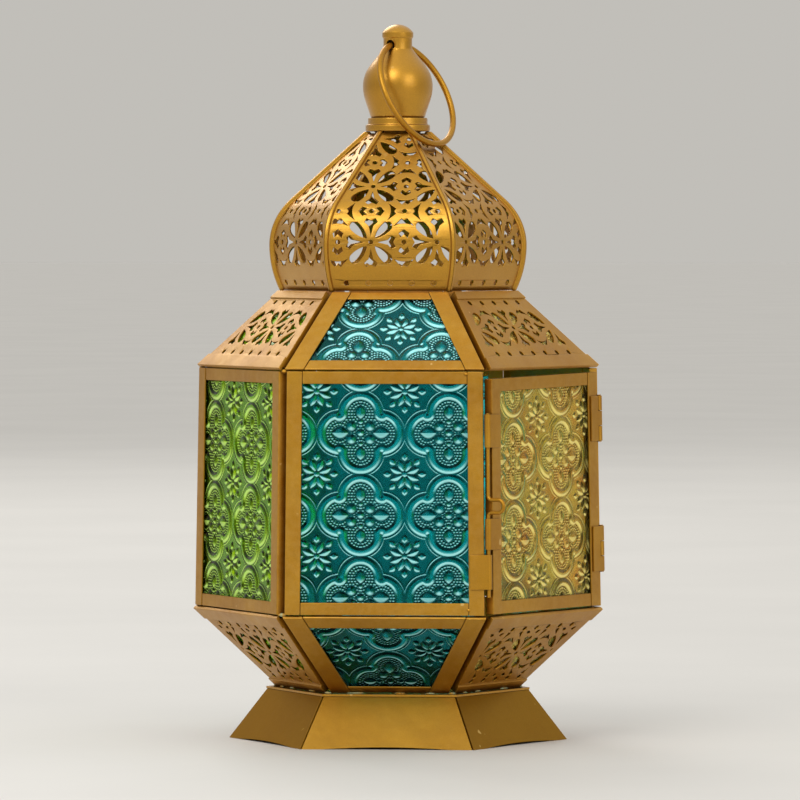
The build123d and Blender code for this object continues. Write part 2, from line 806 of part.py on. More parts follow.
def latch_leaf(hand, low, height):
    """A latch tab or keeper, rolled round the bolt over its whole height."""
    return leaf(LATCH_CORNER, hand, low, height, [(0, height)], bolt_radius + bolt_clearance)


def latch_tabs():
    """The two tabs on the door that guide the bolt."""
    places = ((lower_tab_low, lower_tab_height), (upper_tab_low, upper_tab_height))
    return Compound(children=[latch_leaf(1, low, height) for low, height in places])


def latch_bolt():
    """A wire bolt with a loop bent out of it to pull it up by."""
    corner = BODY.corner_plane(LATCH_CORNER)
    origin = corner.from_local_coords(Vector(groove_reach, 0, 0))
    pull = corner.x_dir.rotate(Axis((0, 0, 0), corner.z_dir), HALF_SIDE_ANGLE)
    upright = Plane(origin=origin, x_dir=pull, z_dir=pull.cross(corner.z_dir))
    pull_high = pull_low + pull_height
    end_radius = pull_end_share * pull_height
    loop = ((0, pull_low), (pull_reach, pull_low), (pull_reach, pull_high), (0, pull_high))
    radii = (pull_bend_radius, end_radius, end_radius, pull_bend_radius)
    path = upright * FilletPolyline((0, bolt_low), *loop, (0, bolt_high), radius=radii)
    return sweep(corner.offset(bolt_low) * Pos(groove_reach, 0) * Circle(bolt_radius), path=path)


def build():
    """Every node by name."""
    nodes = {"floor_plate": floor_plate(), "candle_cup": candle_cup()}
    foot = foot_panel()
    strips = {
        "lower": (lower_stile_width, lower_low_rail_width, lower_high_rail_width),
        "body": (body_stile_width, body_rail_width, body_rail_width),
        "upper": (upper_stile_width, upper_low_rail_width, upper_high_rail_width),
        "door": (door_stile_width, door_rail_width, door_rail_width),
    }
    tapers = {"lower": LOWER, "upper": UPPER}
    trays = {level: tray(taper) for level, taper in tapers.items()}
    frames = {level: channel_frame(taper, taper.corners(), *strips[level]) for level, taper in tapers.items()}
    panes = {
        level: pane(taper, taper.corners(), *strips[level], taper_relief_places[level])
        for level, taper in tapers.items()
    }
    body_frame = channel_frame(BODY, BODY.corners(), *strips["body"])
    blank = dome_blank()
    for side in SIDES:
        nodes[f"foot_panel_{side}"] = turned(foot, side)
        for level, taper in tapers.items():
            if side in PLAIN_TAPER_SIDES:
                nodes[f"{level}_frame_{side}"] = turned(frames[level], side)
                nodes[f"{level}_glass_{side}"] = turned(panes[level], side)
            else:
                nodes[f"{level}_grille_{side}"] = turned(trays[level], side)
                nodes[f"{level}_glass_{side}"] = turned(pane_below_sheet(taper), side)
        place = body_relief_places[side]
        if side == DOOR_SIDE:
            corners = door_corners()
            nodes["door_frame"] = turned(channel_frame(BODY, corners, *strips["door"]), side)
            nodes["door_glass"] = turned(pane(BODY, corners, *strips["door"], place), side)
        else:
            nodes[f"body_frame_{side}"] = turned(body_frame, side)
            nodes[f"body_glass_{side}"] = turned(pane(BODY, BODY.corners(), *strips["body"], place), side)
        nodes[f"dome_panel_{side}"] = turned(blank - dome_holes(side), side)
    nodes["dome_collar"] = dome_collar()
    nodes["finial"] = finial()
    nodes["hanging_ring"] = hanging_ring()
    nodes["door_hinge_leaves"] = hinge_leaves(-1, lower_hinge_height)
    nodes["frame_hinge_leaves"] = hinge_leaves(1, upper_hinge_height)
    nodes["hinge_pins"] = hinge_pins()
    nodes["latch_tabs"] = latch_tabs()
    nodes["latch_keeper"] = latch_leaf(-1, keeper_low, keeper_height)
    nodes["latch_bolt"] = latch_bolt()
    return nodes


os.makedirs("parts", exist_ok=True)
for name, shape in build().items():
    export_step(shape, f"parts/{name}.step")
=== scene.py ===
import json
from math import cos, hypot, pi, radians, sin

import bpy
import numpy as np
from bpy.props import FloatProperty, FloatVectorProperty, PointerProperty
from bpy.types import Operator, Panel, PropertyGroup
from mathutils import Matrix, Vector


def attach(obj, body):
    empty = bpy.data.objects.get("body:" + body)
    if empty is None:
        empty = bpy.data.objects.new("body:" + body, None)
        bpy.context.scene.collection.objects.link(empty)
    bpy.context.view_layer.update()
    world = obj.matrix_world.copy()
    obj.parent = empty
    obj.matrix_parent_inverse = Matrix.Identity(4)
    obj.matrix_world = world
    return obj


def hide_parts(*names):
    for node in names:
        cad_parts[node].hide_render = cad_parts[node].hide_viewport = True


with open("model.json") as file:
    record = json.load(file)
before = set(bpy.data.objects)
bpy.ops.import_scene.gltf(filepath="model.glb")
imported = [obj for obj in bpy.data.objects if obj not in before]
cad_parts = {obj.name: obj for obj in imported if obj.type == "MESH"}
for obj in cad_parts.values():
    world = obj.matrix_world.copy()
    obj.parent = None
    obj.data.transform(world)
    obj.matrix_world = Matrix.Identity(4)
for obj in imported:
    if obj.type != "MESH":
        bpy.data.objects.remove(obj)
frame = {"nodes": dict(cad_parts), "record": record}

bl_info = {
    "name": "Hexagonal fanous lantern",
    "version": (1, 0, 0),
    "blender": (4, 5, 0),
    "location": "View3D > Sidebar > Lantern",
    "description": "Dresses the sheet metal, pressed glass, finial and fittings of a candle lantern",
    "category": "Object",
}

MM = 0.001
APOTHEM_SHARE = cos(radians(30))

# The six sides by the direction that each one faces, in degrees from +X, and by the glass that each one holds.
SIDE_ANGLES = {
    "front": -90,
    "front_right": -30,
    "back_right": 30,
    "back": 90,
    "back_left": 150,
    "front_left": 210,
}
SIDE_GLASS = {
    "front": "teal",
    "front_right": "amber",
    "back_right": "amber",
    "back": "teal",
    "back_left": "green",
    "front_left": "green",
}
DOOR_SIDE = "front_right"
OPEN_TAPER_SIDES = ("front", "back")

# Where a quatrefoil's centre falls on each body pane and on the tapers, in millimetres across and up the panel.
BODY_PHASES = {
    "front": (-8.5, 35.2),
    "front_right": (-18.9, 25.7),
    "back_right": (4.0, 30.0),
    "back": (10.0, 20.0),
    "back_left": (-6.0, 41.0),
    "front_left": (9.0, 30.8),
}
LOWER_PHASE = (0.4, 4.75)
UPPER_PHASE = (-9.75, 3.05)

# How far below its ground the pressed relief goes, as a share of its height.
RELIEF_SINK = 0.4
# The span over which the relief's tilt is measured, and the slope that counts as fully tilted.
TILT_STEP = 0.12 * MM
STEEPEST_TILT = 0.55

# How much of each glass's colour is kept on the relief's crests, on its ground, where it is sunk and on slopes that
# face up: light and shade painted over the relief.
GLASS_PAINTED_SHADING = {
    "teal": {"crest": 0.8, "ground": 0.15, "sunk": 0.003, "shade": 0.02},
    "green": {"crest": 1.0, "ground": 0.45, "sunk": 0.006, "shade": 0.02},
    "amber": {"crest": 1.0, "ground": 1.0, "sunk": 0.9, "shade": 0.55},
}
# The same for the glass behind the pierced sheets, cloudier and drawn paler as painted light, with the share of
# light that passes it.
CLOUDY_PAINTED_SHADING = {
    "green": {"crest": 1.0, "ground": 0.7, "sunk": 0.3, "shade": 0.3, "clear": 0.6},
    "amber": {"crest": 1.0, "ground": 1.0, "sunk": 0.7, "shade": 0.4, "clear": 0.6},
}
# The share of light that passes clear glass, and the share that passes a crest with a painted highlight.
CLEAR = 0.97
CAUGHT_CLEAR = 0.17

# The moulded border's heights, from a quatrefoil's outline inwards: (inset in millimetres, share of the relief).
BORDER_PROFILE = (
    (-0.95, 0.0),
    (-0.65, 0.45),
    (-0.35, 0.05),
    (0.0, 0.1),
    (0.8, 0.8),
    (1.4, 1.0),
    (1.9, 0.95),
    (2.7, 0.05),
    (2.9, -0.15),
)
# A quatrefoil's petals: distance from its centre, reach and half width, in millimetres.
PETAL_UP = (7.2, 2.5, 1.8)
PETAL_ACROSS = (7.2, 3.1, 2.1)
PETAL_INNER = (3.9, 1.0, 0.9)
# Its four round bosses: distance across, distance up and radius. Then the radius of the boss in the middle.
BOSS = (3.3, 2.3, 1.75)
MIDDLE_BOSS = 1.3
# A flower's petals and points, as the petals above, and the radii of its sunk ground and of its eye.
FLOWER_PETAL = (3.2, 2.3, 1.15)
FLOWER_POINT = (6.1, 1.5, 1.15)
FLOWER_GROUND = 5.2
FLOWER_EYE = 1.0

# Rounding the metal: how close points are joined, and the angles of flat facets, of rounded and of shaded edges.
JOIN_DISTANCE = 0.002 * MM
FLAT_ANGLE = radians(0.5)
ROUNDED_ANGLE = radians(40)
SHADED_ANGLE = radians(35)

# Half sizes of the drops of solder in millimetres: along the seam, up and outwards.
TOP_CORNER_DROP = (1.3, 0.9, 1.2)
LOW_CORNER_DROP = (2.0, 0.75, 1.0)
LOW_FACE_DROP = (0.8, 0.6, 0.45)
TOP_FACE_DROP = (0.9, 0.6, 0.45)
FOOT_DROP = (1.5, 0.5, 0.8)
FLUX_PATCH = (0.28, 0.4)

# Soft boxes: name, place and size in metres, and watts. They face the lantern's middle.
LAMPS = (
    ("key", (-0.75, -1.8, 1.85), 1.4, 26),
    ("fill", (0.95, -1.0, 0.7), 0.8, 4),
    ("rim", (-0.9, 2.0, 1.7), 1.2, 16),
)
LAMP_AIM = (0, 0, 0.13)
FLOOR_SIZE = 60

# Solder and flux: the corners that hold still, the one that the flux shows on, and the foot's seam in millimetres.
STATIC_CORNERS = (60, 120, 180, 240)
FLUX_CORNER = 240
FOOT_CORNER = 44.2
FOOT_EDGE = 39.0
FOOT_SEAM = 19.0
FLUX_PATCHES = ((-12.0, 3.5), (-6.5, 2.0), (3.5, 2.2), (10.0, 3.0), (14.5, 2.0), (-15.0, 1.5))


def length(name, description, millimetres):
    """A length property with its default in millimetres."""
    return FloatProperty(
        name=name, description=description, default=millimetres * MM, unit="LENGTH", precision=5
    )


def colour(name, description, value):
    """A colour property."""
    return FloatVectorProperty(
        name=name, description=description, default=value, subtype="COLOR", size=3, min=0, max=1
    )


class LanternShell(PropertyGroup):
    """The panels' planes, which the panes follow."""

    lower_side: length("Lower taper", "Side of the inner hexagon at the lower taper's bottom", 41.8)
    body_low_side: length("Body bottom", "Side of the inner hexagon at the body's bottom", 70.5)
    body_high_side: length("Body top", "Side of the inner hexagon at the body's top", 69.0)
    upper_side: length("Upper taper", "Side of the inner hexagon at the upper taper's top", 41.1)
    lower_z: length("Lower taper height", "Height of the lower taper's bottom", 21.098)
    body_z: length("Body height", "Height of the body's bottom", 47.9989)
    upper_z: length("Upper taper height", "Height of the upper taper's bottom", 133.6589)
    upper_top: length("Upper taper top", "Height of the upper taper's top", 159.1205)
    seam: length("Seam", "Gap between neighbouring panels", 0.06)
    pane_inset: length("Pane inset", "Distance from a panel's edge to the pane's edge", 1.1)
    pane_back: length("Pane back", "Distance from the panel's inner face to the pane's back", 0.6)
    pane_front: length("Pane front", "Distance from the panel's inner face to the pane's ground", 1.8)
    shielded_front: length("Shielded pane front", "The same behind a pierced sheet", 1.6)
    door_side_gap: length("Door side gap", "Gap beside the door", 0.4)
    door_low_gap: length("Door lower gap", "Gap under the door", 0.4)
    door_latch_drop: length("Door drop at latch", "Gap over the door at its latch edge", 2.6)
    door_hinge_drop: length("Door drop at hinge", "Gap over the door at its hinge edge", 1.3)


class LanternGlass(PropertyGroup):
    """The pressed relief, the colours of the panes and the tones of their painted highlights."""

    pitch_across: length("Pitch across", "Distance between quatrefoils in a row", 31.0)
    pitch_up: length("Pitch up", "Distance between rows of quatrefoils", 28.9)
    lobe_radius: length("Lobe radius", "Radius of a quatrefoil's lobe", 7.6)
    lobe_across: length("Lobe reach across", "Distance of the side lobes from the centre", 7.5)
    lobe_up: length("Lobe reach up", "Distance of the upper and lower lobes from the centre", 6.8)
    border: length("Border", "Width of the quatrefoil's moulded border", 2.8)
    bead_pitch: length("Bead pitch", "Distance between the beads inside a quatrefoil", 1.05)
    relief: length("Relief", "Height of the relief's crests", 0.58)
    open_step: length("Fine step", "Spacing of the relief's mesh on open panes", 0.25)
    shielded_step: length("Coarse step", "Spacing of the relief's mesh behind pierced sheet", 0.6)
    teal: colour("Teal", "Colour of the front and back panes", (0.02, 0.94, 1.0))
    green: colour("Green", "Colour of the green panes", (0.56, 1.0, 0.01))
    amber: colour("Amber", "Colour of the amber panes", (0.98, 0.84, 0.22))
    orange: colour("Orange", "Colour of the streaks in the amber panes", (1.0, 0.5, 0.08))
    # The tones of the painted highlights on the panes' crests.
    teal_glint: colour("Teal glint", "Tone of the teal panes' crests where they catch the light", (0.52, 1.0, 1.0))
    green_glint: colour("Green glint", "The same on the green panes", (0.68, 1.0, 0.24))
    amber_glint: colour("Amber glint", "The same on the amber panes", (1.0, 0.84, 0.26))


class LanternMetal(PropertyGroup):
    """The gold paint, and the softness of the metal's edges."""

    strip_edge: length("Strip edge", "Roundness of the channel strips' edges", 0.3)
    sheet_edge: length("Sheet edge", "Roundness of the pierced sheets' edges", 0.18)
    fitting_edge: length("Fitting edge", "Roundness of the hinge and latch leaves' edges", 0.12)
    turned_edge: length("Turned edge", "Roundness of the finial's and collar's edges", 0.5)
    light: colour("Gold light", "Light tone of the gold paint", (0.55, 0.28, 0.018))
    mid: colour("Gold", "Middle tone of the gold paint", (0.43, 0.19, 0.007))
    # The tone of the painted shade in crevices.
    painted_crevice_shade: colour("Gold shade", "Dark tone of the gold paint in crevices", (0.09, 0.04, 0.005))
    # The tone of worn edges and chips, which on edges is also a painted highlight.
    rubbed_and_highlit: colour("Rubbed gold", "Tone of the edges where the paint is rubbed", (0.85, 0.6, 0.22))
    residue: colour("Residue", "Tone of the flux residue on the solder", (0.36, 0.43, 0.25))
    # The foot's paint is drawn darker than the rest, as painted shade.
    foot_shade: FloatProperty(
        name="Foot tone", description="Paint of the foot against the rest", default=0.55, min=0, max=1
    )


class LanternStage(PropertyGroup):
    """Camera, light and ground."""

    camera_distance: length("Camera distance", "Distance of the camera from the axis", 2376)
    camera_height: length("Camera height", "Height of the camera", 184.9)
    aim_height: length("Aim height", "Height that the camera looks at", 122)
    aim_side: length("Aim side", "Sideways shift of the point that the camera looks at", 0.8)
    azimuth: FloatProperty(
        name="Azimuth",
        description="Turn of the camera to the right of the front",
        default=radians(4.2),
        subtype="ANGLE",
    )
    lens: FloatProperty(
        name="Lens", description="Focal length in millimetres", default=297, subtype="DISTANCE_CAMERA"
    )
    ground: colour("Ground", "Colour of the floor", (0.62, 0.6, 0.56))
    horizon: colour("Horizon", "Light from the studio's sides", (0.535, 0.519, 0.485))
    overhead: colour("Overhead", "Light from the studio's ceiling", (1.0, 1.0, 1.0))


def take_up(piece):
    """Makes a piece the only selected and active object."""
    bpy.ops.object.select_all(action="DESELECT")
    piece.select_set(True)
    bpy.context.view_layer.objects.active = piece


def finish_with(piece, material, body, slot, *nodes):
    """Paints a piece, lets it ride on a body and stand for some nodes."""
    piece.data.materials.clear()
    piece.data.materials.append(material)
    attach(piece, body)
    if nodes:
        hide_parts(*nodes)
    return piece


class Wiring:
    """A material's nodes, added and linked by short calls."""

    def __init__(self, name):
        self.material = bpy.data.materials.get(name) or bpy.data.materials.new(name)
        self.material.use_nodes = True
        self.tree = self.material.node_tree
        self.tree.nodes.clear()
        self.output = self.tree.nodes.new("ShaderNodeOutputMaterial")
        self.place = self.tree.nodes.new("ShaderNodeTexCoord").outputs["Object"]

    def add(self, kind, settings=None, **inputs):
        """A node with its settings, and inputs that are values or other nodes' outputs."""
        node = self.tree.nodes.new(kind)
        for key, value in (settings or {}).items():
            setattr(node, key, value)
        for key, value in inputs.items():
            socket = node.inputs[int(key[1:]) if key[0] == "_" and key[1:].isdigit() else key.replace("_", " ")]
            if isinstance(value, bpy.types.NodeSocket):
                self.tree.links.new(value, socket)
            else:
                socket.default_value = value
        return node

    def noise(self, scale, detail, roughness=0.5):
        """A noise pattern with a number of blotches to the metre."""
        node = self.add("ShaderNodeTexNoise", Vector=self.place, Scale=scale, Detail=detail, Roughness=roughness)
        return node.outputs["Fac"]

    def ramp(self, value, *stops):
        """A value passed through colour stops, each (place, colour or grey)."""
        node = self.add("ShaderNodeValToRGB", Fac=value)
        elements = node.color_ramp.elements
        while len(elements) < len(stops):
            elements.new(1)
        for element, (where, tone) in zip(elements, stops):
            element.position = where
            element.color = (*tone, 1) if hasattr(tone, "__len__") else (tone, tone, tone, 1)
        return node.outputs["Color"]

    def mix(self, kind, share, first, second):
        """Two colours mixed."""
        node = self.add("ShaderNodeMix", {"data_type": "RGBA", "blend_type": kind}, _0=share)
        for socket, value in ((node.inputs[6], first), (node.inputs[7], second)):
            if isinstance(value, bpy.types.NodeSocket):
                self.tree.links.new(value, socket)
            else:
                socket.default_value = (*value, 1)
        return node.outputs[2]

    def maths(self, kind, first, second):
        """Two numbers put together."""
        return self.add("ShaderNodeMath", {"operation": kind}, _0=first, _1=second).outputs[0]

    def shade(self, shader):
        """Puts a shader on the surface."""
        self.tree.links.new(shader.outputs[0], self.output.inputs["Surface"])
        return self.material


def gold_paint(name, metal, wear_and_shade=1.0, strength=1.0, mottle=1.0, gloss=0.38, coat=0.3, grazing=(1.0, 1.0, 1.0)):
    """Satin gold paint on sheet metal: mottled, speckled and chipped, lighter on worn edges, partly as a painted
    highlight, and with painted shade in crevices.

    Its first share scales the worn, lighter edges and the painted shade in crevices, mottle is a share, its tone
    against the common one is painted light above 1 and painted shade below 1, gloss is the roughness of its
    smoothest patches, coat the share of clear coat, and grazing its tint at a flat angle.
    """
    w = Wiring(name)
    blotches = w.noise(38, 4, 0.55)
    # The paint's tone is scaled: painted light above 1, painted shade below 1.
    deep = tuple(strength * (mottle * c + (1 - mottle) * d) for c, d in zip(metal.mid, metal.light))
    tone = w.ramp(blotches, (0.3, deep), (0.72, tuple(strength * c for c in metal.light)))
    specks = w.ramp(w.noise(2600, 2, 0.6), (0.35, 0.88), (0.65, 1.0))
    tone = w.mix("MULTIPLY", 1.0, tone, specks)
    # Painted shade: the paint is darkened towards the shade tone where ambient occlusion finds crevices.
    crevice_shade_mask = w.add("ShaderNodeAmbientOcclusion", {"samples": 8}, Distance=3 * MM).outputs["AO"]
    crevice_shade_mask = w.ramp(crevice_shade_mask, (0.25, 1.0), (0.8, 0.0))
    tone = w.mix("MIX", w.maths("MULTIPLY", crevice_shade_mask, 0.75 * wear_and_shade), tone, tuple(metal.painted_crevice_shade))
    # Worn edges, partly a painted highlight: the paint is lightened where the surface is pointy.
    edges = w.ramp(w.add("ShaderNodeNewGeometry").outputs["Pointiness"], (0.54, 0.0), (0.63, 1.0))
    rubbed_and_highlit = w.maths("MULTIPLY", edges, w.ramp(w.noise(420, 3), (0.35, 0.25), (0.65, 1.0)))
    tone = w.mix("MIX", w.maths("MULTIPLY", rubbed_and_highlit, 0.3 * wear_and_shade), tone, tuple(metal.rubbed_and_highlit))
    chips = w.maths("MULTIPLY", w.ramp(w.noise(230, 1), (0.77, 0.0), (0.8, 1.0)), 0.6)
    tone = w.mix("MIX", chips, tone, tuple(metal.rubbed_and_highlit))
    roughness = w.ramp(w.noise(160, 4, 0.6), (0.3, gloss), (0.7, gloss + 0.14 * mottle))
    dents = w.add("ShaderNodeBump", Strength=0.35 * mottle, Distance=0.9 * MM, Height=w.noise(95, 2))
    grain = w.add(
        "ShaderNodeBump", Strength=0.22, Distance=0.06 * MM, Height=w.noise(1500, 3, 0.6), Normal=dents.outputs[0]
    )
    shader = w.add(
        "ShaderNodeBsdfPrincipled",
        Base_Color=tone,
        Metallic=1.0,
        Roughness=roughness,
        Normal=grain.outputs[0],
        Specular_Tint=(*grazing, 1.0),
        Coat_Weight=coat,
        Coat_Roughness=0.3,
    )
    return w.shade(shader)


def flux_crust(name, metal):
    """A dull pale crust of flux, stained gold in patches."""
    w = Wiring(name)
    tone = w.ramp(w.noise(600, 3, 0.6), (0.4, tuple(metal.residue)), (0.62, tuple(metal.light)))
    crust = w.add("ShaderNodeBump", Strength=0.4, Distance=0.15 * MM, Height=w.noise(1800, 3, 0.6))
    return w.shade(w.add("ShaderNodeBsdfPrincipled", Base_Color=tone, Roughness=0.7, Normal=crust.outputs[0]))


def pressed_glass(name, tint, streak, glint, crest, ground, sunk, shade, clear=CLEAR):
    """Coloured pressed glass with painted light and shade: deep in its ground, deeper where it is sunk and on slopes
    that face up as painted shade, pale where its crests catch the light as painted highlights.
    """
    w = Wiring(name)
    height = w.add("ShaderNodeAttribute", {"attribute_name": "relief"}).outputs["Fac"]
    tilt = w.add("ShaderNodeAttribute", {"attribute_name": "tilt"}).outputs["Fac"]
    # Painted light and shade over the relief: its colour is kept by height, least where it is sunk.
    depth = w.ramp(height, (0.0, sunk), (RELIEF_SINK / (1 + RELIEF_SINK), ground), (0.85, crest))
    streaks = w.ramp(w.noise(90, 3, 0.6), (0.42, tuple(tint)), (0.68, tuple(streak)))
    tone = w.mix("MULTIPLY", 1.0, streaks, depth)
    # Painted shade on slopes that face up.
    tone = w.mix("MULTIPLY", 1.0, tone, w.ramp(tilt, (0.15, shade), (0.48, 1.0)))
    # Painted highlight: crests whose slopes face down are mixed towards the glint tone and let less light through.
    facing = w.ramp(tilt, (0.56, 0.0), (0.86, 1.0))
    painted_glint = w.maths("MULTIPLY", facing, w.ramp(height, (0.15, 0.3), (0.5, 1.0)))
    lustre = tuple(0.88 * deep + 0.12 * pale for deep, pale in zip(tint, glint))
    painted_glint_opacity = w.maths("MULTIPLY", painted_glint, clear - CAUGHT_CLEAR)
    ripples = w.add("ShaderNodeBump", Strength=0.25, Distance=0.12 * MM, Height=w.noise(700, 2))
    # The reflections' tint is dimmed on slopes that face up, also painted shade.
    shader = w.add(
        "ShaderNodeBsdfPrincipled",
        Base_Color=w.mix("MIX", painted_glint, tone, tuple(glint)),
        Roughness=0.15,
        IOR=1.52,
        Specular_Tint=w.ramp(tilt, (0.15, tuple(0.15 * c for c in lustre)), (0.5, lustre)),
        Transmission_Weight=w.maths("SUBTRACT", clear, painted_glint_opacity),
        Normal=ripples.outputs[0],
    )
    return w.shade(shader)


def softened(node, edge, pierced):
    """A copy of a metal node with its loose facets joined and its edges rounded."""
    piece = bpy.data.objects.new(f"{node}_soft", frame["nodes"][node].data.copy())
    bpy.context.collection.objects.link(piece)
    take_up(piece)
    bpy.ops.mesh.customdata_custom_splitnormals_clear()
    bpy.ops.object.mode_set(mode="EDIT")
    bpy.ops.mesh.select_all(action="SELECT")
    bpy.ops.mesh.remove_doubles(threshold=JOIN_DISTANCE)
    if not pierced:
        bpy.ops.mesh.dissolve_limited(angle_limit=FLAT_ANGLE)
    bpy.ops.object.mode_set(mode="OBJECT")
    bevel = piece.modifiers.new("rounded_edges", "BEVEL")
    bevel.width = edge
    bevel.segments = 2
    bevel.limit_method = "ANGLE"
    bevel.angle_limit = ROUNDED_ANGLE
    bevel.use_clamp_overlap = False
    bpy.ops.object.modifier_apply(modifier=bevel.name)
    bpy.ops.object.shade_smooth_by_angle(angle=SHADED_ANGLE)
    shading = piece.modifiers.new("even_shading", "WEIGHTED_NORMAL")
    shading.keep_sharp = True
    bpy.ops.object.modifier_apply(modifier=shading.name)
    return piece


def body_of(node):
    """The body that a node belongs to."""
    bodies = frame["record"]["behaviour"]["bodies"]
    return next(body for body, members in bodies.items() if node in members)


def slot_of(node):
    """The material slot of a node."""
    return next(part["material_slot"] for part in frame["record"]["subparts"] if part["node"] == node)


def panel_place(side, low_side, low_z, high_side, high_z):
    """A panel's inner face as a matrix: X across it, Y up its slope, Z out of it. Also its slant height."""
    spread = (high_side - low_side) * APOTHEM_SHARE
    up = Vector((0, -spread, high_z - low_z)).normalized()
    across = Vector((1, 0, 0))
    place = Matrix((across, up, across.cross(up))).transposed().to_4x4()
    place.translation = (0, -low_side * APOTHEM_SHARE, low_z)
    turn = Matrix.Rotation(radians(SIDE_ANGLES[side] - SIDE_ANGLES["front"]), 4, "Z")
    return turn @ place, hypot(spread, high_z - low_z)


def oval_at(along, across, sizes):
    """How deep inside a pointed oval a place lies: 1 at its middle, 0 on its outline and less outside."""
    centre, reach, half_width = (size * MM for size in sizes)
    return 1 - ((along - centre) / reach) ** 2 - np.abs(across) / half_width


def eased(value, low, high):
    """A smooth step from 0 at low to 1 at high."""
    share = np.clip((value - low) / (high - low), 0, 1)
    return share * share * (3 - 2 * share)


def quatrefoil(x, y, glass):
    """Depth inside the nearest quatrefoil's outline, and its relief, for places measured from its centre."""
    radius, wide, tall = glass.lobe_radius, glass.lobe_across, glass.lobe_up
    ax, ay = np.abs(x), np.abs(y)
    side, top = np.hypot(ax - wide, ay), np.hypot(ax, ay - tall)
    depth = np.hypot(ax - wide, ay - tall)
    depth = np.where(ax > wide, np.minimum(depth, np.abs(radius - side)), depth)
    depth = np.where(ay > tall, np.minimum(depth, np.abs(radius - top)), depth)
    inside = (side < radius) | (top < radius) | ((ax < wide) & (ay < tall))
    depth = np.where(inside, depth, -depth)
    insets, heights = np.array(BORDER_PROFILE).T
    border = np.interp(depth / MM, insets, heights)
    in_side = side < top
    row = np.where(in_side, side, top)
    angle = np.where(in_side, np.arctan2(ay, ax - wide), np.arctan2(ay - tall, ax))
    ring = np.round(row / glass.bead_pitch)
    count = np.maximum(np.round(2 * pi * ring), 1)
    swing = angle * count / (2 * pi)
    along = (swing - np.round(swing)) * 2 * pi / count * ring * glass.bead_pitch
    off = row - ring * glass.bead_pitch
    bead = np.clip(1 - (along**2 + off**2) / (0.48 * glass.bead_pitch) ** 2, 0, 1)
    height = border + 0.6 * bead * eased(depth, glass.border - 0.1 * MM, glass.border + 0.3 * MM)
    petals = (
        oval_at(ay, ax, PETAL_UP),
        oval_at(ax, ay, PETAL_ACROSS),
        oval_at(ay, ax, PETAL_INNER),
        1 - np.hypot(ax - BOSS[0] * MM, ay - BOSS[1] * MM) / (BOSS[2] * MM),
        1 - np.hypot(ax, ay) / (MIDDLE_BOSS * MM),
    )
    for petal in petals:
        bare = eased(petal, -0.3, 0.05)
        height = height * (1 - bare) + bare * (1.3 * np.clip(petal, 0, 1) ** 0.75 - 0.3)
    return depth, height


def flower(x, y):
    """The relief of a small flower of eight petals and eight points, for places measured from its centre."""
    radius, angle = np.hypot(x, y), np.arctan2(y, x)
    turn = np.mod(angle, pi / 4) - pi / 8
    petal = oval_at(radius * np.cos(turn), radius * np.sin(turn), FLOWER_PETAL)
    turn = np.mod(angle + pi / 8, pi / 4) - pi / 8
    point = oval_at(radius * np.cos(turn), radius * np.sin(turn), FLOWER_POINT)
    height = np.clip(1.1 * petal, 0, 1) ** 0.7 - 0.15 * (petal < 0) * (radius < FLOWER_GROUND * MM)
    height = np.where(point > 0, 0.9 * np.clip(point * 1.6, 0, 1), height)
    eye = 1 - radius / (FLOWER_EYE * MM)
    return np.where(eye > 0, 0.8 * np.sqrt(np.clip(eye, 0, 1)), height)


def pressed_relief(x, y, glass):
    """The glass relief's height above its ground, for places measured from a quatrefoil's centre."""
    columns, rows = x / glass.pitch_across, y / glass.pitch_up
    depth, inner = quatrefoil(
        (columns - np.round(columns)) * glass.pitch_across, (rows - np.round(rows)) * glass.pitch_up, glass
    )
    half_columns, half_rows = columns - 0.5, rows - 0.5
    outer = flower(
        (half_columns - np.round(half_columns)) * glass.pitch_across,
        (half_rows - np.round(half_rows)) * glass.pitch_up,
    )
    return inner + outer * eased(-depth, 0.9 * MM, 1.3 * MM)


